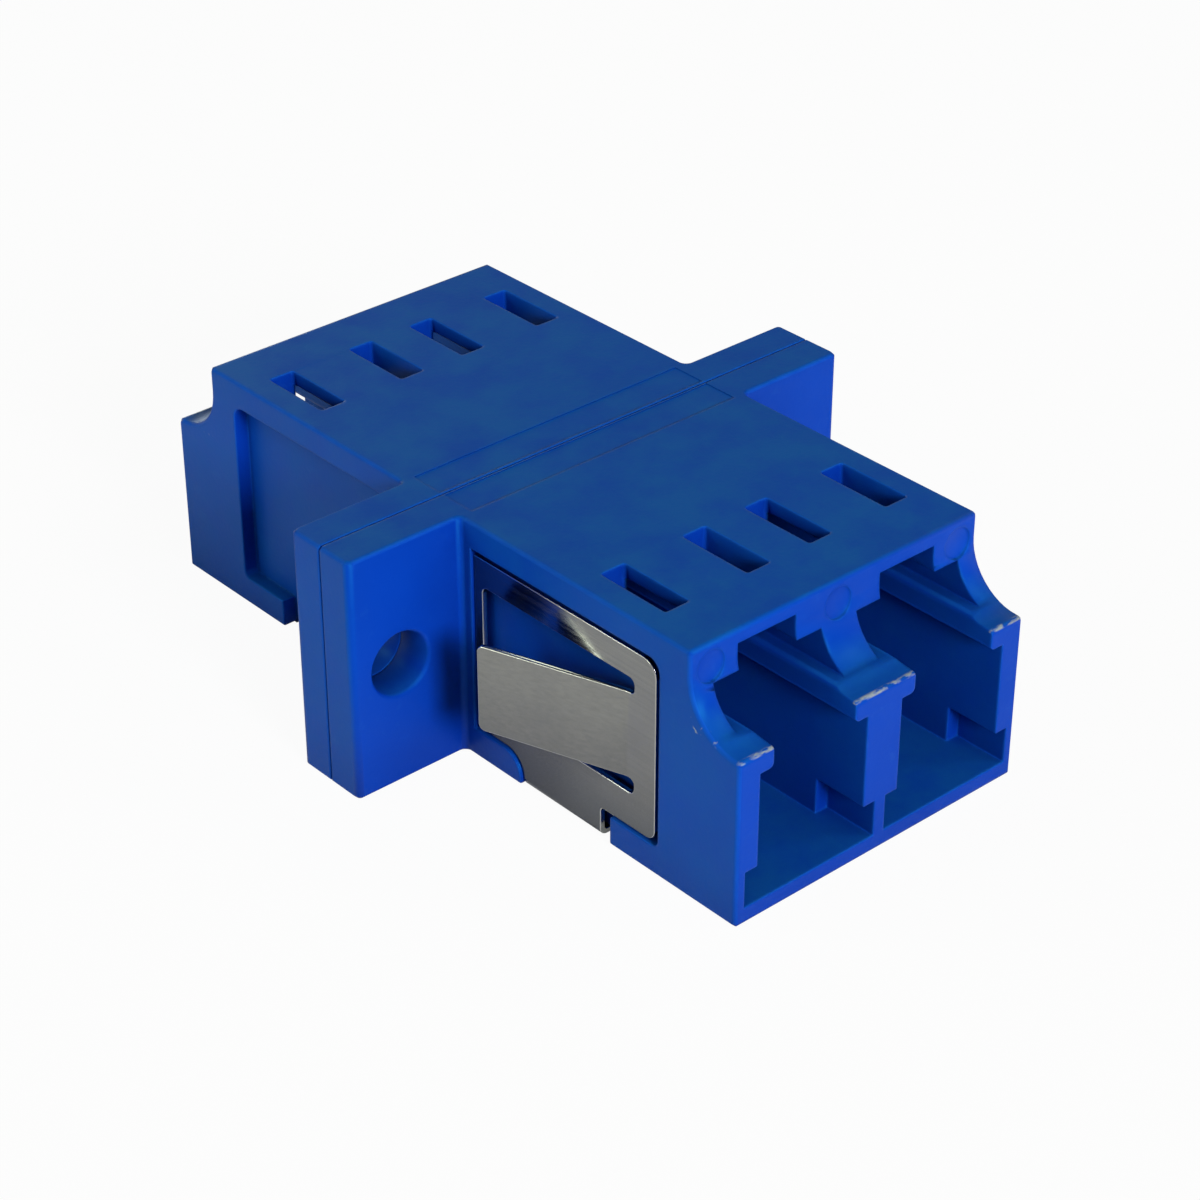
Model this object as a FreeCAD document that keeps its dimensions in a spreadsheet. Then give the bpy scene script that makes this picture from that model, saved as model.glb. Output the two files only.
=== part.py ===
import FreeCAD, Part
import math
import os
import re
import Sketcher

# Duplex LC to LC fibre adapter with a screw flange, of the size that fits a simplex SC cut-out.
# X runs across the two ports, Y along the way the plugs go in, Z up. The front end faces -Y.
# The origin is in the middle of the underside, in the plane where the two halves are welded.

# Driving dimensions, in millimetres and degrees.
sizes = {
    # Ports, as seen from the end: across, then from the underside up.
    "portWidth": 4.7,
    "undercutDepth": 0.525,
    "midWall": 0.5,
    "outerWall": 0.4,
    "portFloor": 0.64,
    "portHeight": 4.86,
    "railThickness": 0.95,
    "railDepth": 0.57,
    "railRound": 0.2,
    "latchRoom": 1.3,
    "passageWidth": 2.5,
    "passageHeight": 0.93,
    "topWall": 0.52,
    "undercutHeight": 1.36,
    "undercutLength": 2.1,
    # Nose: the lower lip of each end and the scoop above it.
    "portLip": 3.6,
    "scoopRadius": 2.05,
    "shelfFlat": 0.05,
    "faceAboveScoop": 0.9,
    "profileRound": 0.15,
    "edgeChamfer": 0.12,
    # Latch windows in the top.
    "windowSetback": 2.21,
    "windowLength": 3.0,
    "windowLedge": 0.1,
    "windowRound": 0.1,
    # Flange and its screw holes.
    "flangeThickness": 3.0,
    "holeOffset": 2.6,
    "earMargin": 2.0,
    "holeDiameter": 2.3,
    "holeChamfer": 0.12,
    "flangeRound": 0.25,
    "junctionRound": 0.2,
    "seamChamfer": 0.06,
    "bandInset": 0.5,
    "bandGap": 0.12,
    "bandDepth": 0.03,
    # Side recess for the clip, and the blocks in front of and behind the strap's way down.
    "recessRim": 0.5,
    "recessLength": 9.1,
    "recessTopWall": 1.0,
    "recessTopRound": 0.5,
    "recessLowRound": 0.3,
    "blockHeight": 1.13,
    "blockRound": 0.2,
    "frontBlock": 2.27,
    "backBlock": 2.37,
    # Partition, split sleeves and the barrels round them.
    "partition": 0.8,
    "ferruleBore": 1.25,
    "sleeveWall": 0.175,
    "sleeveLength": 6.8,
    "slotWidth": 0.25,
    "sleevePlay": 0.08,
    "sleeveEndPlay": 0.05,
    "barrelWall": 0.52,
    "barrelChamfer": 0.12,
    "lipThickness": 0.3,
    "lipPlay": 0.075,
    "lipFlare": 0.2,
    # Ejector pin marks on the end face.
    "markInset": 0.9,
    "markDiameter": 1.15,
    "markDrop": 0.86,
    "markDepth": 0.07,
    # Clip: one stamped and folded sheet, and its gaps to the recess.
    "sheetThickness": 0.2,
    "clipSink": 0.1,
    "clipStandOff": 0.25,
    "strapSink": 0.02,
    "foldRadius": 0.1,
    "clipBackGap": 0.05,
    "clipFrontGap": 0.25,
    "clipTopGap": 0.25,
    "plateGap": 0.06,
    "backBlockGap": 0.05,
    "legFrontGap": 0.56,
    "legBackGap": 0.06,
    "notchRound": 0.15,
    "plateTopCorner": 0.6,
    "plateLowCorner": 0.4,
    "backBar": 0.4,
    "frontBar": 1.0,
    "lowBar": 1.31,
    "topBar": 1.05,
    "clipWindowRound": 0.25,
    # Sprung tongue.
    "tongueSlit": 0.575,
    "tongueLength": 5.4,
    "tongueAngle": 19.5,
    "tongueBend": 0.5,
    "tongueRoot": 0.25,
    "tongueCorner": 0.25,
    "slitRound": 0.2,
    # How far a cut runs past the surface that it starts from.
    "cutMargin": 1.0,
}

# Places that follow from the driving dimensions.
portPitch = "(portWidth + 2 * undercutDepth + midWall)"
bodyWidth = f"({portPitch} + portWidth + 2 * undercutDepth + 2 * outerWall)"
bodySide = f"({bodyWidth} / 2)"
railBottom = "(portFloor + portHeight)"
railTop = f"({railBottom} + railThickness)"
latchTop = f"({railTop} + latchRoom)"
passageTop = f"({latchTop} + passageHeight)"
bodyHeight = f"({passageTop} + topWall)"
boreHeight = "(portFloor + portHeight / 2)"
flangeFace = "(flangeThickness / 2)"
flangeSide = f"({bodySide} + holeOffset + earMargin)"
recessBack = f"({flangeFace} + recessRim)"
recessFront = f"({recessBack} + recessLength)"
recessTop = f"({bodyHeight} - recessTopWall)"
halfLength = f"({recessFront} + portLip)"
topReach = f"({halfLength} - profileRound - shelfFlat - scoopRadius)"
shelf = f"({bodyHeight} - faceAboveScoop - scoopRadius)"
windowFront = f"({topReach} - windowSetback)"
channelFront = f"({recessFront} - frontBlock)"
channelBack = f"({recessBack} + backBlock)"
recessDepth = "(clipSink + sheetThickness + clipStandOff)"
channelDepth = "(strapSink + sheetThickness)"
plateLow = "(blockHeight + plateGap)"
backHeight = f"({plateLow} - backBlockGap)"
# The back block curves up to its top with all the height that its lower round leaves.
backCurve = f"({backHeight} - blockRound - shelfFlat)"
sleeveRadius = "(ferruleBore / 2 + sleeveWall)"
boreRadius = f"({sleeveRadius} + sleevePlay)"
barrelRadius = f"({boreRadius} + barrelWall)"
lipRadius = "(ferruleBore / 2 + lipPlay)"
boreReach = "(sleeveLength / 2 + sleeveEndPlay)"
barrelReach = f"({boreReach} + lipThickness)"
portCentres = [f"-{portPitch} / 2", f"{portPitch} / 2"]

# Lengths closer than this count as equal.
tiny = 1e-5

document = FreeCAD.newDocument("Adapter")
sheet = document.addObject("Spreadsheet::Sheet", "Sizes")
for row, (alias, size) in enumerate(sizes.items(), 1):
    sheet.set(f"A{row}", alias)
    sheet.set(f"B{row}", str(size))
    sheet.setAlias(f"B{row}", alias)
document.recompute()


def bound(expression):
    # The expression as the sketches and features need it, with the sheet's name before each size.
    return re.sub(r"[A-Za-z]\w*", lambda word: ("Sizes." if word[0] in sizes else "") + word[0], expression)


def worth(expression):
    return float(sheet.evalExpression(expression))


def originPlane(body, role):
    return next(part for part in body.Origin.OriginFeatures if part.Role == role)


def sketchOn(body, name, plane, offset="0"):
    sketch = body.newObject("Sketcher::SketchObject", name)
    sketch.AttachmentSupport = (originPlane(body, plane), [""])
    sketch.MapMode = "FlatFace"
    sketch.setExpression("AttachmentOffset.Base.z", bound(offset))
    return sketch


def fix(sketch, kind, elements, expression):
    index = sketch.addConstraint(Sketcher.Constraint(kind, *elements, worth(expression)))
    sketch.setExpression(f"Constraints[{index}]", bound(expression))


def place(sketch, geometry, point, across, up):
    # A point on an axis is held by the axis, any other by its distance from the origin.
    for kind, axis, expression in (("DistanceX", -2, across), ("DistanceY", -1, up)):
        if expression == "0":
            sketch.addConstraint(Sketcher.Constraint("PointOnObject", geometry, point, axis))
        else:
            fix(sketch, kind, (-1, 1, geometry, point), expression)


def arcBetween(start, end, radius):
    # The short arc, anticlockwise from start to end.
    chord = end - start
    across = FreeCAD.Vector(-chord.y, chord.x, 0).normalize()
    centre = (start + end) / 2 + across * math.sqrt(radius**2 - chord.Length**2 / 4)
    first, last = (math.atan2(point.y - centre.y, point.x - centre.x) for point in (start, end))
    whole = Part.Circle(centre, FreeCAD.Vector(0, 0, 1), radius)
    return Part.ArcOfCircle(whole, first, last if last > first else last + 2 * math.pi)


def way(start, end):
    # The direction from one point to the next along each axis: -1, 0 or 1.
    moves = [stop - begin for begin, stop in zip(start, end)]
    return [0 if abs(move) < tiny else int(math.copysign(1, move)) for move in moves]


def shifted(corner, direction, radius):
    return tuple(f"{start} + {radius} * {sign}" if sign else start for start, sign in zip(corner, direction))


def softened(corners):
    # Turns each square corner that has a radius into the two ends of its round.
    points = [(worth(corner[0]), worth(corner[1])) for corner in corners]
    ends = []
    arcs = {}
    for number, (across, up, *radius) in enumerate(corners):
        if radius:
            before = way(points[number - 1], points[number])
            after = way(points[number], points[(number + 1) % len(points)])
            arcs[len(ends)] = (radius[0], before[0] * after[1] - before[1] * after[0])
            ends.append(shifted((across, up), [-sign for sign in before], radius[0]))
            ends.append(shifted((across, up), after, radius[0]))
        else:
            ends.append((across, up))
    return ends, arcs


def outline(sketch, corners, arcs=None):
    # A closed outline. A corner is (across, up) or, where it is square and rounded, (across, up,
    # radius). arcs gives, for the stretch that leaves a corner, its radius and the side on which
    # its centre lies: 1 on the left of the way round, -1 on the right.
    if arcs is None:
        corners, arcs = softened(corners)
    points = [FreeCAD.Vector(worth(across), worth(up), 0) for across, up in corners]
    stretches = []
    for number, start in enumerate(points):
        end = points[(number + 1) % len(points)]
        if number in arcs:
            radius, side = arcs[number]
            ends = (start, end) if side > 0 else (end, start)
            geometry = sketch.addGeometry(arcBetween(*ends, worth(radius)))
            stretches.append((geometry, 1, 2) if side > 0 else (geometry, 2, 1))
        else:
            stretches.append((sketch.addGeometry(Part.LineSegment(start, end)), 1, 2))
    for number, (geometry, _, last) in enumerate(stretches):
        following, first, _ = stretches[(number + 1) % len(stretches)]
        sketch.addConstraint(Sketcher.Constraint("Coincident", geometry, last, following, first))
    for (geometry, first, _), (across, up) in zip(stretches, corners):
        place(sketch, geometry, first, across, up)
    for number, (radius, _) in arcs.items():
        fix(sketch, "Radius", (stretches[number][0],), radius)


def rectangle(sketch, left, right, low, high):
    outline(sketch, [(left, low), (right, low), (right, high), (left, high)])


def circle(sketch, across, up, radius):
    centre = FreeCAD.Vector(worth(across), worth(up), 0)
    geometry = sketch.addGeometry(Part.Circle(centre, FreeCAD.Vector(0, 0, 1), worth(radius)))
    place(sketch, geometry, 3, across, up)
    fix(sketch, "Radius", (geometry,), radius)


def pad(body, sketch, length, symmetric=False):
    feature = body.newObject("PartDesign::Pad", sketch.Name + "Pad")
    feature.Profile = sketch
    feature.SideType = "Symmetric" if symmetric else "One side"
    feature.setExpression("Length", bound(length))
    document.recompute()
    return feature


def pocket(body, sketch, depth=None, backward=False, symmetric=False):
    # Without a depth the cut goes right through. A cut that removes nothing is a mistake.
    before = body.Tip.Shape.Volume
    feature = body.newObject("PartDesign::Pocket", sketch.Name + "Cut")
    feature.Profile = sketch
    feature.SideType = "Symmetric" if symmetric else "One side"
    feature.Reversed = backward
    if depth:
        feature.setExpression("Length", bound(depth))
    else:
        feature.Type = "ThroughAll"
    document.recompute()
    if not feature.Shape.Volume < before:
        raise ValueError(f"{feature.Name} cuts nothing")
    return feature


def groove(body, sketch):
    # Cuts the sketch's section all the way round the sketch's own upright axis.
    before = body.Tip.Shape.Volume
    feature = body.newObject("PartDesign::Groove", sketch.Name + "Cut")
    feature.Profile = sketch
    feature.ReferenceAxis = (sketch, ["V_Axis"])
    feature.Angle = 360
    document.recompute()
    if not feature.Shape.Volume < before:
        raise ValueError(f"{feature.Name} cuts nothing")


def soften(body, kind, name, size, wanted):
    # A fillet or chamfer on every edge that the test picks.
    base = body.Tip
    names = [f"Edge{number}" for number, edge in enumerate(base.Shape.Edges, 1) if wanted(edge)]
    if not names:
        raise ValueError(f"{name} finds no edge")
    feature = body.newObject(f"PartDesign::{kind}", name)
    feature.Base = (base, names)
    feature.setExpression("Radius" if kind == "Fillet" else "Size", bound(size))
    document.recompute()
    if feature.Shape.isNull() or not feature.Shape.isValid():
        raise ValueError(f"{name} has failed")
    return feature


def isAt(edge, x=None, y=None, z=None):
    # Whether the middle of the edge has the given coordinates, x counted from the middle outwards.
    middle = edge.CenterOfMass
    return all(wanted is None or abs(found - worth(wanted)) < tiny
               for found, wanted in ((abs(middle.x), x), (middle.y, y), (middle.z, z)))


def isLong(edge, length):
    return abs(edge.Length - worth(length)) < tiny


def outerForm(body):
    side = sketchOn(body, "Side", "YZ_Plane")
    outline(side,
            [("0", "0"), ("0", bodyHeight), (f"-{topReach}", bodyHeight, "profileRound"),
             (f"-{topReach}", shelf, "scoopRadius"), (f"-{halfLength}", shelf, "profileRound"),
             (f"-{halfLength}", "0", "profileRound")])
    pad(body, side, bodyWidth, symmetric=True)

    flange = sketchOn(body, "Flange", "XZ_Plane")
    rectangle(flange, f"-{flangeSide}", flangeSide, "0", bodyHeight)
    pad(body, flange, flangeFace)
    for name, side, radius in (("EarCorners", flangeSide, "flangeRound"),
                               ("Junctions", bodySide, "junctionRound")):
        soften(body, "Fillet", name, radius, lambda edge: isAt(edge, x=side, y=f"-{flangeFace}"))

    def outerEdge(edge):
        # The unbroken run of edges from one end of the seam to the other, on each side.
        level = isAt(edge, z="0") or isAt(edge, z=bodyHeight)
        flank = isAt(edge, x=bodySide) and not isAt(edge, z=f"{bodyHeight} / 2")
        middle = edge.CenterOfMass
        return (level or flank) and abs(middle.x) > worth(bodySide) - tiny and middle.y < -tiny

    soften(body, "Chamfer", "OuterEdges", "edgeChamfer", outerEdge)
    soften(body, "Chamfer", "SeamEdges", "seamChamfer", lambda edge: isAt(edge, y="0"))

    # The top is a shade lower across the flange than on the rest of the body.
    band = sketchOn(body, "FlangeBand", "XY_Plane", bodyHeight)
    reach = f"({bodySide} - bandInset)"
    rectangle(band, f"-{reach}", reach, f"-{flangeFace}", "-bandGap")
    pocket(body, band, "bandDepth")


def sideRecesses(body):
    frontFlare = f"(-{channelFront} - blockRound - shelfFlat)"
    backFlare = f"(-{channelBack} + blockRound + shelfFlat)"
    corners = [(f"-{recessBack}", recessTop), (f"-{recessFront}", recessTop, "recessTopRound"),
               (f"-{recessFront}", "blockHeight", "recessLowRound"), (f"-{channelFront}", "blockHeight"),
               (f"-{channelFront}", "0", "blockRound"), (frontFlare, "0"), (frontFlare, "-cutMargin"),
               (backFlare, "-cutMargin"), (backFlare, "0"), (f"-{channelBack}", "0", "blockRound"),
               (f"-{channelBack}", backHeight, backCurve), (f"-{recessBack}", backHeight)]
    for name, sign in (("RecessLeft", "-"), ("RecessRight", "")):
        recess = sketchOn(body, name, "YZ_Plane", sign + bodySide)
        outline(recess, corners)
        pocket(body, recess, recessDepth, backward=sign == "-")
    channel = sketchOn(body, "Channel", "XY_Plane")
    rectangle(channel, f"-{bodySide}", bodySide, f"-{channelFront}", f"-{channelBack}")
    pocket(body, channel, channelDepth, backward=True)


def ports(body):
    section = sketchOn(body, "PortSection", "XZ_Plane", "partition")
    undercut = sketchOn(body, "Undercut", "XZ_Plane", f"{halfLength} - undercutLength")
    # Half of the section, up one side: floor, rail, room for the latch's lugs, latch passage.
    railHalf = "(portWidth / 2 - railDepth)"
    levels = [("portWidth / 2", "portFloor"), ("portWidth / 2", railBottom),
              (railHalf, railBottom, "railRound"), (railHalf, railTop, "railRound"),
              ("portWidth / 2", railTop), ("portWidth / 2", latchTop),
              ("passageWidth / 2", latchTop), ("passageWidth / 2", passageTop)]
    for centre in portCentres:
        rising = [(f"{centre} + {half}", *rest) for half, *rest in levels]
        falling = [(f"{centre} - {half}", *rest) for half, *rest in reversed(levels)]
        outline(section, rising + falling)
        left, right = (f"{centre} {sign} (portWidth / 2 + undercutDepth)" for sign in "-+")
        rectangle(undercut, left, right, "portFloor", "portFloor + undercutHeight")
    pocket(body, section, backward=True)
    pocket(body, undercut, backward=True)


def latchWindows(body):
    windows = sketchOn(body, "LatchWindows", "XY_Plane", bodyHeight)
    front, back = f"-{windowFront}", f"-{windowFront} + windowLength"
    for centre in portCentres:
        for sign in ("-", "+"):
            near = f"{centre} {sign} passageWidth / 2"
            far = f"{centre} {sign} (portWidth / 2 - windowLedge)"
            outline(windows, [(near, front, "windowRound"), (far, front, "windowRound"),
                              (far, back, "windowRound"), (near, back, "windowRound")])
    pocket(body, windows, "topWall + passageHeight")


def endMarks(body):
    marks = sketchOn(body, "EjectorMarks", "XZ_Plane", f"{topReach} - markDepth")
    for across in (f"-{bodySide} + markInset", "0", f"{bodySide} - markInset"):
        circle(marks, across, f"{bodyHeight} - markDrop", "markDiameter / 2")
    pocket(body, marks, backward=True)


def flangeHoles(body):
    holes = sketchOn(body, "FlangeHoles", "XZ_Plane")
    across = f"({bodySide} + holeOffset)"
    for sign in ("-", ""):
        circle(holes, sign + across, f"{bodyHeight} / 2", "holeDiameter / 2")
    pocket(body, holes, backward=True)
    soften(body, "Chamfer", "HoleRims", "holeChamfer", lambda edge: isAt(edge, x=across, y=f"-{flangeFace}"))


def barrels(body):
    barrel = sketchOn(body, "Barrels", "XZ_Plane")
    bore = sketchOn(body, "Bores", "XZ_Plane")
    for centre in portCentres:
        circle(barrel, centre, boreHeight, barrelRadius)
        circle(bore, centre, boreHeight, boreRadius)
    pad(body, barrel, barrelReach)
    pocket(body, bore, boreReach, backward=True)
    # The hole in the lip narrows towards the sleeve, so that a ferrule finds its way in.
    for name, centre in zip(("LipLeft", "LipRight"), portCentres):
        lip = sketchOn(body, name, "XY_Plane", boreHeight)
        lip.setExpression("AttachmentOffset.Base.x", bound(centre))
        outline(lip,
                [("0", f"-{barrelReach}"), (f"({lipRadius} + lipFlare)", f"-{barrelReach}"),
                 (lipRadius, f"-{boreReach}"), ("0", f"-{boreReach}")])
        groove(body, lip)

    def rim(edge):
        return isAt(edge, y=f"-{barrelReach}") and isLong(edge, f"2 * pi * {barrelRadius}")

    soften(body, "Chamfer", "BarrelRims", "barrelChamfer", rim)


def housing(name):
    body = document.addObject("PartDesign::Body", name)
    body.Label = name
    outerForm(body)
    sideRecesses(body)
    ports(body)
    latchWindows(body)
    endMarks(body)
    flangeHoles(body)
    barrels(body)
    return body


def clip(name):
    body = document.addObject("PartDesign::Body", name)
    body.Label = name
    face = f"({bodySide} - clipSink)"
    inside = f"({face} - sheetThickness)"
    top = f"({recessTop} - clipTopGap)"
    plateBack = f"({recessBack} + clipBackGap)"
    plateFront = f"({recessFront} - clipFrontGap)"
    legFront = f"({channelFront} - legFrontGap)"
    legBack = f"({channelBack} + legBackGap)"
    profile = sketchOn(body, "FoldedSheet", "XZ_Plane", plateBack)
    outerFold = "(foldRadius + sheetThickness)"
    outline(profile,
            [(f"-{face}", top), (f"-{face}", "strapSink", outerFold),
             (face, "strapSink", outerFold), (face, top),
             (inside, top), (inside, channelDepth, "foldRadius"),
             (f"-{inside}", channelDepth, "foldRadius"), (f"-{inside}", top)])
    pad(body, profile, f"{plateFront} - {plateBack}")
    blank = sketchOn(body, "StrapBlank", "YZ_Plane")
    outline(blank,
            [(f"-{plateFront} - cutMargin", "-cutMargin"), (f"-{legFront}", "-cutMargin"),
             (f"-{legFront}", plateLow, "notchRound"), (f"-{plateFront} - cutMargin", plateLow)])
    outline(blank,
            [(f"-{legBack}", "-cutMargin"), (f"-{plateBack} + cutMargin", "-cutMargin"),
             (f"-{plateBack} + cutMargin", plateLow), (f"-{legBack}", plateLow, backCurve)])
    pocket(body, blank, symmetric=True)
    frontEdge = f"-{plateFront}"
    for level, radius in ((top, "plateTopCorner"), (plateLow, "plateLowCorner")):
        soften(body, "Fillet", radius.title(), radius, lambda edge: isAt(edge, y=frontEdge, z=level))
    opening = sketchOn(body, "TongueWindow", "YZ_Plane")
    windowEnd = f"({frontEdge} + frontBar)"
    windowStart = f"-{plateBack} - backBar"
    windowLow = f"({plateLow} + lowBar)"
    windowTop = f"({top} - topBar)"
    outline(opening,
            [(windowEnd, windowLow, "clipWindowRound"), (windowStart, windowLow, "clipWindowRound"),
             (windowStart, windowTop, "clipWindowRound"), (windowEnd, windowTop, "clipWindowRound")])
    pocket(body, opening, symmetric=True)
    tongues(body, face, windowEnd, f"({windowLow} + tongueSlit)", f"({windowTop} - tongueSlit)")
    return body


def tongues(body, face, windowEnd, low, high):
    # The left tongue's section: flat at the root, bent outwards, then straight to the free end.
    centre = f"(-{face} - tongueBend)"
    bend = f"({windowEnd} + tongueRoot)"

    def onBend(radius):
        return f"{centre} + {radius} * cos(tongueAngle)", f"{bend} + {radius} * sin(tongueAngle)"

    def freeEnd(across, along):
        return f"{across} - tongueLength * sin(tongueAngle)", f"{along} + tongueLength * cos(tongueAngle)"

    outer = onBend("tongueBend")
    inner = onBend("(tongueBend + sheetThickness)")
    root = f"{windowEnd} - tongueRoot"
    inside = f"-{face} + sheetThickness"
    section = sketchOn(body, "Tongue", "XY_Plane", low)
    outline(section,
            [(f"-{face}", root), (inside, root), (inside, bend), inner,
             freeEnd(*inner), freeEnd(*outer), outer, (f"-{face}", bend)],
            {2: ("tongueBend + sheetThickness", 1), 6: ("tongueBend", -1)})
    spring = pad(body, section, f"{high} - {low}")
    mirror = body.newObject("PartDesign::Mirrored", "TonguePair")
    mirror.Originals = [spring]
    mirror.MirrorPlane = (originPlane(body, "YZ_Plane"), [""])
    body.Tip = mirror
    document.recompute()

    def tipEdge(edge):
        halfOut = worth(f"{face} + tongueLength * sin(tongueAngle) / 2")
        return isLong(edge, "sheetThickness") and abs(edge.CenterOfMass.x) > halfOut

    def slitEdge(edge):
        level = isAt(edge, z=low) or isAt(edge, z=high)
        return level and isAt(edge, y=windowEnd) and isLong(edge, "sheetThickness")

    soften(body, "Fillet", "TongueTips", "tongueCorner", tipEdge)
    soften(body, "Fillet", "SlitEnds", "slitRound", slitEdge)


def sleeve(name, centre):
    body = document.addObject("PartDesign::Body", name)
    body.Label = name
    ring = sketchOn(body, "Ring", "XZ_Plane")
    circle(ring, "0", "0", sleeveRadius)
    circle(ring, "0", "0", "ferruleBore / 2")
    pad(body, ring, "sleeveLength", symmetric=True)
    slot = sketchOn(body, "Slot", "XZ_Plane")
    rectangle(slot, "-slotWidth / 2", "slotWidth / 2", "0", f"{sleeveRadius} + cutMargin")
    pocket(body, slot, symmetric=True)
    body.setExpression("Placement.Base.x", bound(centre))
    body.setExpression("Placement.Base.z", bound(boreHeight))
    return body


front = housing("front_housing")
rear = housing("rear_housing")
rear.Placement = FreeCAD.Placement(FreeCAD.Vector(0, 0, 0), FreeCAD.Rotation(FreeCAD.Vector(0, 0, 1), 180))
sleeves = [sleeve(name, centre) for name, centre in zip(("sleeve_left", "sleeve_right"), portCentres)]
bodies = [front, rear, clip("panel_clip"), *sleeves]
document.recompute()

for item in document.Objects:
    if {"Invalid", "Error"} & set(item.State):
        raise ValueError(f"{item.Label} has failed")
for body in bodies:
    if body.Shape.isNull() or not body.Shape.isValid():
        raise ValueError(f"{body.Label} is not a sound solid")
os.makedirs("parts", exist_ok=True)
for body in bodies:
    body.Shape.exportStep(f"parts/{body.Label}.step")
    print(body.Label, len(body.Shape.Solids), round(body.Shape.Volume, 3), body.Shape.BoundBox)
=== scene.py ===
import math

import bmesh
import bpy
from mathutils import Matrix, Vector
from mathutils.bvhtree import BVHTree
from mathutils.kdtree import KDTree


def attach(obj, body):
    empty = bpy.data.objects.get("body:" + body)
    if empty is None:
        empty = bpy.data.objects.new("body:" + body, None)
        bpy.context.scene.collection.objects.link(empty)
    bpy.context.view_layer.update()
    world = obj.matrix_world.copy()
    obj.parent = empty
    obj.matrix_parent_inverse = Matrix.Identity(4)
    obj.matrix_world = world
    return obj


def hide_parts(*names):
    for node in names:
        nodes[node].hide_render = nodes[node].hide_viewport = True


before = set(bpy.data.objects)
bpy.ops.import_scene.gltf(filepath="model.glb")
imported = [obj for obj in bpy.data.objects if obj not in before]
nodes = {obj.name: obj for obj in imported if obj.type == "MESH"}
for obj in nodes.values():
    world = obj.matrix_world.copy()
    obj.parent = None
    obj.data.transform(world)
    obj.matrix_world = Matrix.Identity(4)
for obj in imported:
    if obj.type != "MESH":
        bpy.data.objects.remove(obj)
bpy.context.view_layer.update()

mm = 0.001
scene = bpy.context.scene
print("frame loaded:", ", ".join(sorted(nodes)))


def placed(item, place, target):
    # into the scene at a place, looking at a target
    scene.collection.objects.link(item)
    item.location = place
    item.rotation_euler = (target - place).to_track_quat("-Z", "Y").to_euler()


# camera at the photograph's angle

camera = {
    "place": (-59.625, -68.335, 59.043),  # mm, in the part's own frame
    "aim": (-0.44, -1.64, 3.60),  # mm
    "lens": 91.4,  # mm
    "sensor": 36,  # mm
    "near": 1,  # mm
    "far": 10000,  # mm
}


def makeCamera():
    data = bpy.data.cameras.new("camera")
    data.lens = camera["lens"]
    data.sensor_width = camera["sensor"]
    data.clip_start = camera["near"] * mm
    data.clip_end = camera["far"] * mm
    item = bpy.data.objects.new("camera", data)
    placed(item, Vector(camera["place"]) * mm, Vector(camera["aim"]) * mm)
    scene.camera = item


makeCamera()
print("camera placed")


# shader nodes that the studio and the materials share

shadingRays = 4  # of the nodes that feel for hollows and edges
edgeMark = "edge"  # attribute of the faces, 1 on chamfers and rounded edges


def newMaterial(name):
    material = bpy.data.materials.new(name)
    material.use_nodes = True
    tree = material.node_tree
    return material, tree, tree.nodes["Principled BSDF"]


def maths(tree, operation, *values):
    # each value is a number or a socket
    node = tree.nodes.new("ShaderNodeMath")
    node.operation = operation
    for place, value in zip(node.inputs, values):
        if isinstance(value, (int, float)):
            place.default_value = value
        else:
            tree.links.new(value, place)
    return node.outputs[0]


def product(tree, first, *others):
    for other in others:
        first = maths(tree, "MULTIPLY", first, other)
    return first


def highest(tree, first, second):
    return maths(tree, "MAXIMUM", first, second)


def away(tree, value, level):
    # distance from a level
    return maths(tree, "ABSOLUTE", maths(tree, "SUBTRACT", value, level))


def ranged(tree, value, low, high, start=0.3, end=0.7):
    # from low to high while the value goes from start to end, the middle of a noise if not given
    node = tree.nodes.new("ShaderNodeMapRange")
    node.inputs["From Min"].default_value = start
    node.inputs["From Max"].default_value = end
    node.inputs["To Min"].default_value = low
    node.inputs["To Max"].default_value = high
    tree.links.new(value, node.inputs["Value"])
    return node.outputs[0]


def passing(tree, value, band, low=0, high=1):
    # from low to high while the value crosses a band, given in mm
    start, end = band
    return ranged(tree, value, low, high, start * mm, end * mm)


def near(tree, value, level, band):
    # 1 at a level, 0 when the distance from it is past the band, both in mm
    return passing(tree, away(tree, value, level * mm), band, 1, 0)


def coordinates(tree, kind):
    return tree.nodes.new("ShaderNodeTexCoord").outputs[kind]


def parts(tree, vector):
    # the three numbers of a vector
    node = tree.nodes.new("ShaderNodeSeparateXYZ")
    tree.links.new(vector, node.inputs[0])
    return node.outputs["X"], node.outputs["Y"], node.outputs["Z"]


def noise(tree, scale, detail, stretch=(1, 1, 1), roughness=0.5):
    turn = tree.nodes.new("ShaderNodeMapping")
    turn.inputs["Scale"].default_value = stretch
    tree.links.new(coordinates(tree, "Object"), turn.inputs["Vector"])
    grain = tree.nodes.new("ShaderNodeTexNoise")
    grain.inputs["Scale"].default_value = scale
    grain.inputs["Detail"].default_value = detail
    grain.inputs["Roughness"].default_value = roughness
    tree.links.new(turn.outputs[0], grain.inputs["Vector"])
    return grain.outputs["Fac"]


def hollow(tree, reach, closed, opened):
    # 0 in the open, 1 deep inside a hole or a corner, with the reach in mm
    node = tree.nodes.new("ShaderNodeAmbientOcclusion")
    node.samples = shadingRays
    node.inputs["Distance"].default_value = reach * mm
    return ranged(tree, node.outputs["AO"], 1, 0, closed, opened)


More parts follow.
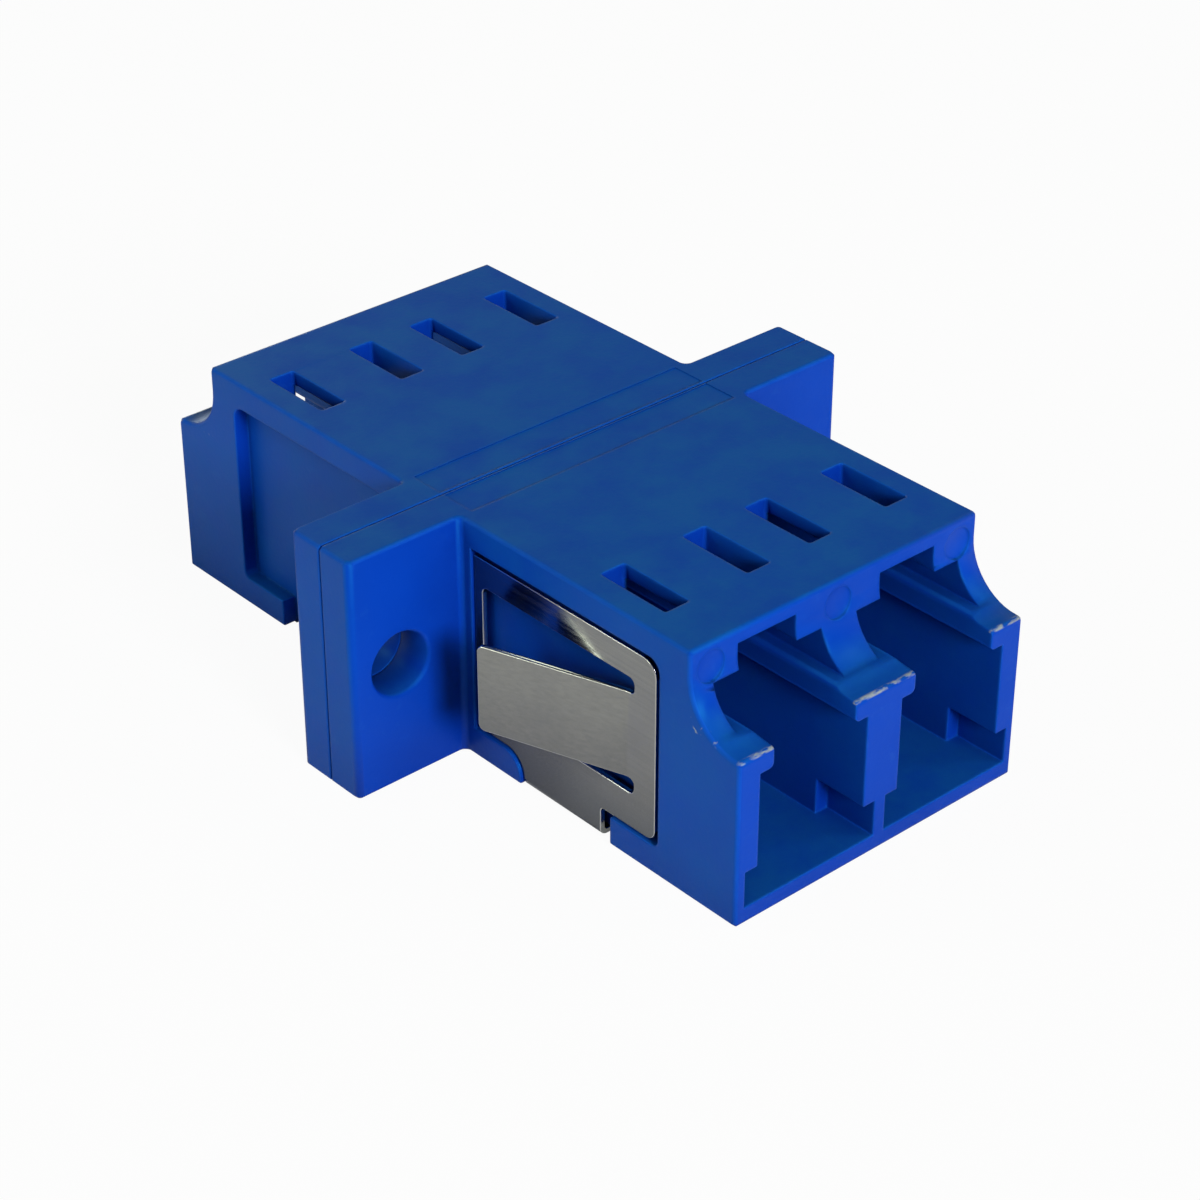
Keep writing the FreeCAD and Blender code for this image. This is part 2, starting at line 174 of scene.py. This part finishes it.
def softEdges(tree, radius, full):
    # normals softened over the edges, and from 0 to 1 how far each spot is turned by that
    soft = tree.nodes.new("ShaderNodeBevel")
    soft.samples = shadingRays
    soft.inputs["Radius"].default_value = radius * mm
    plain = tree.nodes.new("ShaderNodeNewGeometry")
    both = tree.nodes.new("ShaderNodeVectorMath")
    both.operation = "DOT_PRODUCT"
    tree.links.new(soft.outputs[0], both.inputs[0])
    tree.links.new(plain.outputs["Normal"], both.inputs[1])
    return soft.outputs[0], ranged(tree, both.outputs["Value"], 1, 0, full, 1)


def markedEdges(tree):
    node = tree.nodes.new("ShaderNodeAttribute")
    node.attribute_name = edgeMark
    return node.outputs["Fac"]


def blended(tree, factor, first, second):
    # each of the two is a colour or a socket
    node = tree.nodes.new("ShaderNodeMix")
    node.data_type = "RGBA"
    for name, colour in (("A", first), ("B", second)):
        if isinstance(colour, tuple):
            node.inputs[name].default_value = colour
        else:
            tree.links.new(colour, node.inputs[name])
    tree.links.new(factor, node.inputs["Factor"])
    return node.outputs["Result"]


def mixed(tree, factor, first, second):
    # two shaders
    node = tree.nodes.new("ShaderNodeMixShader")
    tree.links.new(factor, node.inputs[0])
    tree.links.new(first.outputs[0], node.inputs[1])
    tree.links.new(second.outputs[0], node.inputs[2])
    return node.outputs[0]


def bumped(tree, shader, layers, last=None):
    # layers of relief, one on the other, on top of the normals so far
    for grain, strength, depth in layers:
        node = tree.nodes.new("ShaderNodeBump")
        node.inputs["Strength"].default_value = strength
        node.inputs["Distance"].default_value = depth * mm
        tree.links.new(noise(tree, **grain), node.inputs["Height"])
        if last:
            tree.links.new(last, node.inputs["Normal"])
        last = node.outputs[0]
    tree.links.new(last, shader.inputs["Normal"])


# studio: pale floor, soft world, soft lamps

studio = {
    "floorSize": 3.0,  # metres
    "floorColour": (0.88, 0.92, 0.87, 1),
    "floorRoughness": 0.9,
    "floorWhite": 0.95,  # share of plain white over the lit paper, seen straight
    "floorGloss": 0.12,  # the same, seen in gloss
    "skyLow": 0.9,  # brightness near the horizon, seen in gloss
    "skyHigh": 0.14,  # the same overhead
    "skyBand": (0.02, 0.32),  # heights, 1 being overhead, between which one turns into the other
    "skyLight": 0.07,  # what the sky gives the object
    "lamps": {  # metres and watts
        "front": {"place": (-0.10, -0.47, 0.20), "size": 0.14, "power": 2.6, "colour": (0.97, 0.91, 1)},
        "side": {"place": (-0.45, 0.12, 0.14), "size": 0.16, "power": 0.45, "colour": (1, 1.1, 0.92)},
        "left": {"place": (-0.33, 0.36, 0.32), "size": 0.12, "power": 0.3, "colour": (1, 1.1, 0.98)},
        "back": {"place": (0.15, 0.48, 0.10), "size": 0.16, "power": 0.35, "colour": (1, 1, 1)},
        "right": {"place": (0.30, -0.28, 0.34), "size": 0.12, "power": 0.25, "colour": (1, 1.1, 1)},
    },
}


def seenRays(tree, straight=1, gloss=1):
    # how much of its own white the studio shows to each kind of ray, 0 to those that light
    light = tree.nodes.new("ShaderNodeLightPath")
    shown = product(tree, light.outputs["Is Camera Ray"], straight)
    for kind in ("Is Glossy Ray", "Is Transmission Ray"):
        shown = highest(tree, shown, product(tree, light.outputs[kind], gloss))
    return shown


def makeWorld():
    world = bpy.data.worlds.new("studio")
    scene.world = world
    world.use_nodes = True
    tree = world.node_tree
    tree.nodes.clear()
    out = tree.nodes.new("ShaderNodeOutputWorld")
    height = parts(tree, coordinates(tree, "Generated"))[2]
    sky = ranged(tree, height, studio["skyLow"], studio["skyHigh"], *studio["skyBand"])
    # straight behind the object it is white, whatever gloss sees there
    isStraight = tree.nodes.new("ShaderNodeLightPath").outputs["Is Camera Ray"]
    seen = tree.nodes.new("ShaderNodeBackground")
    tree.links.new(highest(tree, sky, isStraight), seen.inputs["Strength"])
    light = tree.nodes.new("ShaderNodeBackground")
    light.inputs["Strength"].default_value = studio["skyLight"]
    tree.links.new(mixed(tree, seenRays(tree), light, seen), out.inputs["Surface"])


def makeFloor():
    mesh = bpy.data.meshes.new("floor")
    sheet = bmesh.new()
    bmesh.ops.create_grid(sheet, x_segments=1, y_segments=1, size=studio["floorSize"] / 2)
    sheet.to_mesh(mesh)
    sheet.free()
    item = bpy.data.objects.new("floor", mesh)
    scene.collection.objects.link(item)
    material, tree, paper = newMaterial("floorPaper")
    paper.inputs["Base Color"].default_value = studio["floorColour"]
    paper.inputs["Roughness"].default_value = studio["floorRoughness"]
    paper.inputs["Specular IOR Level"].default_value = 0
    white = tree.nodes.new("ShaderNodeEmission")
    white.inputs["Strength"].default_value = 1
    share = seenRays(tree, studio["floorWhite"], studio["floorGloss"])
    tree.links.new(mixed(tree, share, paper, white), tree.nodes["Material Output"].inputs["Surface"])
    mesh.materials.append(material)


def makeLamps():
    for name, lamp in studio["lamps"].items():
        data = bpy.data.lights.new(name, "AREA")
        data.shape = "SQUARE"
        data.size = lamp["size"]
        data.energy = lamp["power"]
        data.color = lamp["colour"]
        placed(bpy.data.objects.new(name, data), Vector(lamp["place"]), Vector())


makeWorld()
makeFloor()
makeLamps()
scene.view_settings.view_transform = "Standard"
print("studio lit")


# pieces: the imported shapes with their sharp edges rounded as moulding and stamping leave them

rounding = {
    "housing": 0.03,  # mm, width of the rounding
    "clip": 0.03,
    "sharp": 50,  # degrees between two faces from which an edge is rounded
    "passes": 6,
    "reach": 0.08,  # mm kept clear of a spot too narrow to round
    "cutFrom": 4,  # length in reaches from which an edge is cut near such a spot
    "cutAt": 1.6,  # reaches from the edge's end to the cut
    "turned": -0.2,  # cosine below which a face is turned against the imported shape
    "same": 0.0005,  # mm between packed corners that are one
    "flat": 0.5,  # degrees between packed faces that are one
    "collapsed": 0.0001,  # mm between rounded corners that are one
}

shading = {
    "strip": 0.2,  # mm, a face narrower than this between bent edges is a chamfer
    "bend": 40,  # degrees from which its edges are bent
    "bentShare": 0.6,  # of its outline
    "broad": 0.4,  # mm2, from which a face sets the normals at its corners
    "weights": {"broad": 16384, "other": 0, "edge": -16384},  # strong, medium and weak
}


def mergedCopy(name):
    mesh = bmesh.new()
    mesh.from_mesh(nodes[name].data)
    bmesh.ops.remove_doubles(mesh, verts=mesh.verts, dist=rounding["same"] * mm)
    bmesh.ops.dissolve_limit(mesh, angle_limit=math.radians(rounding["flat"]), verts=mesh.verts,
                             edges=mesh.edges, delimit={"NORMAL"})
    return mesh


def isBent(edge, degrees):
    return len(edge.link_faces) == 2 and edge.calc_face_angle(0) > math.radians(degrees)


def markChamfers(mesh, layer):
    for face in mesh.faces:
        bent = sum(e.calc_length() for e in face.edges if isBent(e, shading["bend"]) and e.is_convex)
        whole = sum(e.calc_length() for e in face.edges)
        isNarrow = 2 * face.calc_area() < shading["strip"] * mm * whole
        face[layer] = 1.0 if isNarrow and bent > shading["bentShare"] * whole else 0.0


def treeOf(spots):
    tree = KDTree(len(spots))
    for number, spot in enumerate(spots):
        tree.insert(spot, number)
    tree.balance()
    return tree


def isClear(spot, narrow):
    # narrow is a tree of the narrow spots, or None when there are none yet
    return narrow is None or narrow.find(spot)[2] > rounding["reach"] * mm


def isFree(edge, narrow):
    # clear all along
    first, last = (corner.co for corner in edge.verts)
    steps = max(1, int((last - first).length / (rounding["reach"] * mm / 2)))
    return all(isClear(first.lerp(last, step / steps), narrow) for step in range(steps + 1))


def cutShort(mesh, narrow):
    # long sharp edges are cut near a narrow spot, so that only the short end stays sharp
    reach = rounding["reach"] * mm
    for end in (0, 1):
        sharp = [e for e in mesh.edges if isBent(e, rounding["sharp"])]
        for edge in [e for e in sharp if e.calc_length() > rounding["cutFrom"] * reach]:
            corner = edge.verts[end]
            if not isClear(corner.co, narrow):
                bmesh.utils.edge_split(edge, corner, rounding["cutAt"] * reach / edge.calc_length())


def rounded(name, width, spots):
    mesh = mergedCopy(name)
    layer = mesh.faces.layers.float.new(edgeMark)
    markChamfers(mesh, layer)
    narrow = treeOf(spots) if spots else None
    cutShort(mesh, narrow)
    edges = [e for e in mesh.edges if isBent(e, rounding["sharp"]) and isFree(e, narrow)]
    new = bmesh.ops.bevel(mesh, geom=edges, offset=width * mm, offset_type="OFFSET", segments=2,
                          profile=0.5, affect="EDGES", material=-1, clamp_overlap=False)
    for face in new["faces"]:
        face[layer] = 1.0
    return mesh


def strayed(mesh, surface, width):
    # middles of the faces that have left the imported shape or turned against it
    copy = mesh.copy()
    bmesh.ops.triangulate(copy, faces=copy.faces)
    spots = []
    for face in copy.faces:
        if face.calc_area() > (rounding["collapsed"] * mm) ** 2:
            middle = face.calc_center_median()
            _, normal, _, distance = surface.find_nearest(middle)
            if distance > width * mm or face.normal.dot(normal) < rounding["turned"]:
                spots.append(middle.copy())
    copy.free()
    return spots


def roundedPiece(node, width):
    # rounded anew, clear of the spots that strayed before, until none strays or the passes end
    packed = mergedCopy(node)
    surface = BVHTree.FromBMesh(packed)
    packed.free()
    narrow = []
    for _ in range(rounding["passes"]):
        shape = rounded(node, width, narrow)
        spots = strayed(shape, surface, width)
        narrow += spots
        if not spots:
            break
    bmesh.ops.remove_doubles(shape, verts=shape.verts, dist=rounding["collapsed"] * mm)
    print(node, "rounded, spots kept sharp", len(narrow) - len(spots), "still astray", len(spots))
    return shape


def setShading(shape):
    # smooth faces between sharp edges, with the layer that the Weighted Normal modifier reads
    layer = shape.faces.layers.int.new("__mod_weightednormals_faceweight")
    marks = shape.faces.layers.float[edgeMark]
    for face in shape.faces:
        face.smooth = True
        kind = "broad" if face.calc_area() > shading["broad"] * mm * mm else "other"
        if face[marks] > 0.5:
            kind = "edge"
        face[layer] = shading["weights"][kind]
    for edge in shape.edges:
        edge.smooth = not isBent(edge, rounding["sharp"])
    bmesh.ops.recalc_face_normals(shape, faces=shape.faces)


def makePiece(node, name, width):
    shape = roundedPiece(node, width)
    setShading(shape)
    mesh = bpy.data.meshes.new(name)
    shape.to_mesh(mesh)
    shape.free()
    piece = bpy.data.objects.new(name, mesh)
    scene.collection.objects.link(piece)
    even = piece.modifiers.new("evenShading", "WEIGHTED_NORMAL")
    even.keep_sharp = True
    even.use_face_influence = True
    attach(piece, "root")
    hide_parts(node)
    print(name, "faces", len(mesh.polygons))
    return piece


pieces = {
    "front": makePiece("front_housing", "front_moulding", rounding["housing"]),
    "rear": makePiece("rear_housing", "rear_moulding", rounding["housing"]),
    "clip": makePiece("panel_clip", "clip_sheet", rounding["clip"]),
}


# moulded plastic: even blue, cloudy in the depth, a fine grain, faint scuffs, painted sheen on faces turned
# up and to the sides, painted highlights along the edges, painted shade in hollows and corners and painted
# glints on the lips and scoop rims
# a range is where its noise starts to show and where it shows in full

plastic = {
    "colour": (0.0018, 0.053, 0.46, 1),
    "deepColour": (0.0012, 0.044, 0.41, 1),
    "clouds": {"scale": 260, "detail": 5},
    "scuffColour": (0.008, 0.078, 0.46, 1),
    "scuffs": {"scale": 1900, "detail": 5, "stretch": (1, 0.4, 1), "roughness": 0.6},
    "scuffRange": (0.6, 0.74),
    "scuffShare": 0.5,
    # painted sheen: faces turned up and to the sides are paler and greener in patches, as where light
    # glances off them
    "sheenColour": (0.006, 0.112, 0.42, 1),
    "sheenPatches": {"scale": 450, "detail": 7, "roughness": 0.7},
    "sheenRange": (0.36, 0.62),
    "sheenShare": (0.5, 1.0),  # least and most of the painted sheen
    "sheenTurn": (0.5, 0.95),  # how far up a face looks where the painted sheen starts and where it is full
    "sideSheen": 0.7,  # how far up the sides count as looking
    # painted highlight: paler blue along the edges
    "edgeHighlightColour": (0.007, 0.100, 0.58, 1),
    "edges": {"scale": 1400, "detail": 3},
    "edgeHighlightShare": (0.3, 0.6),  # least and most of the painted highlight
    "edgeRadius": 0.15,  # mm
    "edgeTurn": 0.8,  # cosine of the turn at which an edge has the full painted highlight
    # painted shade: darker blue in hollows and corners
    "hollowShadeColour": (0.0006, 0.014, 0.19, 1),
    "hollowRange": (0.12, 0.8),  # open share of the room around, where the painted shade is darkest and where it is gone
    "hollowShadeShare": 0.9,
    "hollowClouds": 0.9,  # what is left of that between the clouds
    "hollowReach": 5,  # mm
    "roughness": (0.36, 0.44),
    "polish": {"scale": 900, "detail": 4},
    "specular": 0.25,
    "specularTint": (0.05, 0.8, 1, 1),
    "relief": (  # noise, strength and depth in mm
        ({"scale": 200, "detail": 1}, 0.12, 0.1),
        ({"scale": 6000, "detail": 3}, 0.14, 0.03),
    ),
}

# painted glints, whitish highlights on the lips over the ports and on the rims of the side scoops, at both
# ends
# a band is the distances from its place, in mm, where wear is full and where it has gone

glints = {
    "colour": (0.38, 0.44, 0.38, 1),
    "lipEdge": 6.25,  # mm, height of the lips' front edges
    "lipBand": (0.06, 0.1),
    "frontFace": 14.7,  # mm from mid-length
    "frontBand": (0.12, 0.2),
    "lips": {"scale": 5200, "detail": 4, "stretch": (0.4, 1, 1)},
    "lipRange": (0.44, 0.58),
    "lipShare": 0.85,
    "scoopEdge": 6.36,  # mm out from the middle
    "scoopBand": (0.08, 0.14),
    "scoopStart": (12.5, 12.7),  # mm from mid-length, from none to full
    "scoopLow": (6.3, 6.6),  # mm high, from none to full
    "specks": {"scale": 4600, "detail": 2},
    "speckRange": (0.63, 0.69),
}


# painted sheen, in patches, on faces turned up and on the sides
def sheenShare(tree):
    facing = tree.nodes.new("ShaderNodeNewGeometry")
    across, _, up = parts(tree, facing.outputs["Normal"])
    side = product(tree, away(tree, across, 0), plastic["sideSheen"])
    turn = ranged(tree, highest(tree, up, side), 0, 1, *plastic["sheenTurn"])
    sheenPatches = ranged(tree, noise(tree, **plastic["sheenPatches"]), *plastic["sheenShare"], *plastic["sheenRange"])
    return product(tree, turn, sheenPatches)


# painted shade in hollows and corners, lighter between the clouds
def hollowShadeShare(tree, clouds):
    deep = hollow(tree, plastic["hollowReach"], *plastic["hollowRange"])
    cloudy = ranged(tree, clouds, plastic["hollowClouds"], 1, 0, 1)
    return ranged(tree, product(tree, deep, cloudy), 0, plastic["hollowShadeShare"], 0, 1)


# painted glints along the lips' front edges and in specks on the scoop rims near the ends
def glintShare(tree):
    across, along, up = parts(tree, coordinates(tree, "Object"))
    fromMiddle = away(tree, along, 0)
    isFront = near(tree, fromMiddle, glints["frontFace"], glints["frontBand"])
    isLip = near(tree, up, glints["lipEdge"], glints["lipBand"])
    lips = ranged(tree, noise(tree, **glints["lips"]), 0, glints["lipShare"], *glints["lipRange"])
    isScoop = near(tree, away(tree, across, 0), glints["scoopEdge"], glints["scoopBand"])
    isEnd = product(tree, passing(tree, fromMiddle, glints["scoopStart"]), passing(tree, up, glints["scoopLow"]))
    specks = ranged(tree, noise(tree, **glints["specks"]), 0, 1, *glints["speckRange"])
    return highest(tree, product(tree, isFront, isLip, lips), product(tree, isScoop, isEnd, specks))


def plasticMaterial():
    material, tree, shader = newMaterial("mouldedPlastic")
    clouds = ranged(tree, noise(tree, **plastic["clouds"]), 0, 1)
    colour = blended(tree, clouds, plastic["colour"], plastic["deepColour"])
    scuffs = ranged(tree, noise(tree, **plastic["scuffs"]), 0, plastic["scuffShare"], *plastic["scuffRange"])
    colour = blended(tree, scuffs, colour, plastic["scuffColour"])
    # painted sheen on faces turned up and to the sides
    colour = blended(tree, sheenShare(tree), colour, plastic["sheenColour"])
    soft, turned = softEdges(tree, plastic["edgeRadius"], plastic["edgeTurn"])
    # painted highlight along the edges, where the softened normals turn and on the marked faces
    highlightPatches = ranged(tree, noise(tree, **plastic["edges"]), *plastic["edgeHighlightShare"])
    edges = product(tree, highest(tree, markedEdges(tree), turned), highlightPatches)
    colour = blended(tree, edges, colour, plastic["edgeHighlightColour"])
    # painted shade in hollows and corners
    colour = blended(tree, hollowShadeShare(tree, clouds), colour, plastic["hollowShadeColour"])
    # painted glints on the lips and scoop rims
    colour = blended(tree, glintShare(tree), colour, glints["colour"])
    tree.links.new(colour, shader.inputs["Base Color"])
    polish = ranged(tree, noise(tree, **plastic["polish"]), *plastic["roughness"])
    tree.links.new(polish, shader.inputs["Roughness"])
    shader.inputs["Specular IOR Level"].default_value = plastic["specular"]
    shader.inputs["Specular Tint"].default_value = plastic["specularTint"]
    bumped(tree, shader, plastic["relief"], soft)
    return material


# rolled stainless sheet: dark grey, fine lines along the strip, faint smudges, a painted dark reflection low
# on the leg, painted shade beside the flange and behind the tongue and painted highlights on the cut edges

steel = {
    "colour": (0.387, 0.380, 0.358, 1),
    "darkColour": (0.337, 0.334, 0.321, 1),
    "lines": {"scale": 9000, "detail": 3, "stretch": (1, 0.02, 1)},
    "smudgeColour": (0.297, 0.296, 0.293, 1),
    "smudges": {"scale": 320, "detail": 4},
    "smudgeRange": (0.45, 0.75),
    "smudgeShare": 0.6,
    # painted dark reflection of the floor's shadow, low on the leg
    "lowReflectionColour": (0.31, 0.316, 0.32, 1),
    "lowReflectionBand": (1.2, 2.4),  # mm, heights below which the painted dark reflection on the leg is full and above which it is gone
    "hollowShadeColour": (0.05, 0.055, 0.07, 1),  # painted shade beside the flange and behind the tongue, standing in for the flange's dark reflection
    "hollowRange": (0.4, 0.88),
    "hollowReach": 6,  # mm
    # painted highlight on the cut edges
    "edgeHighlightColour": (0.66, 0.65, 0.62, 1),
    "roughness": (0.11, 0.2),
    "relief": (  # noise, strength and depth in mm
        ({"scale": 8000, "detail": 3, "stretch": (1, 0.02, 1)}, 0.06, 0.01),
    ),
}


def steelMaterial():
    material, tree, shader = newMaterial("rolledSteel")
    lines = ranged(tree, noise(tree, **steel["lines"]), 0, 1)
    colour = blended(tree, lines, steel["colour"], steel["darkColour"])
    smudges = ranged(tree, noise(tree, **steel["smudges"]), 0, steel["smudgeShare"], *steel["smudgeRange"])
    colour = blended(tree, smudges, colour, steel["smudgeColour"])
    up = parts(tree, coordinates(tree, "Object"))[2]
    # painted dark reflection, darker towards the bottom of the leg
    colour = blended(tree, passing(tree, up, steel["lowReflectionBand"], 1, 0), colour, steel["lowReflectionColour"])
    # painted shade beside the flange and behind the tongue
    shade = hollow(tree, steel["hollowReach"], *steel["hollowRange"])
    colour = blended(tree, shade, colour, steel["hollowShadeColour"])
    # painted highlight on the cut edges
    colour = blended(tree, markedEdges(tree), colour, steel["edgeHighlightColour"])
    tree.links.new(colour, shader.inputs["Base Color"])
    tree.links.new(ranged(tree, lines, *steel["roughness"], 0, 1), shader.inputs["Roughness"])
    shader.inputs["Metallic"].default_value = 1
    bumped(tree, shader, steel["relief"])
    return material


# zirconia: cream, polished

ceramic = {
    "colour": (0.86, 0.85, 0.80, 1),
    "shadeColour": (0.80, 0.79, 0.73, 1),
    "shade": {"scale": 700, "detail": 3},
    "roughness": (0.12, 0.2),
    "polish": {"scale": 1500, "detail": 3},
}


def ceramicMaterial():
    material, tree, shader = newMaterial("zirconia")
    shade = ranged(tree, noise(tree, **ceramic["shade"]), 0, 1)
    colour = blended(tree, shade, ceramic["colour"], ceramic["shadeColour"])
    tree.links.new(colour, shader.inputs["Base Color"])
    polish = ranged(tree, noise(tree, **ceramic["polish"]), *ceramic["roughness"])
    tree.links.new(polish, shader.inputs["Roughness"])
    return material


blue = plasticMaterial()
pieces["front"].data.materials.append(blue)
pieces["rear"].data.materials.append(blue)
pieces["clip"].data.materials.append(steelMaterial())
cream = ceramicMaterial()
for name in ("sleeve_left", "sleeve_right"):
    for place in nodes[name].material_slots:
        place.material = cream
print("materials on")
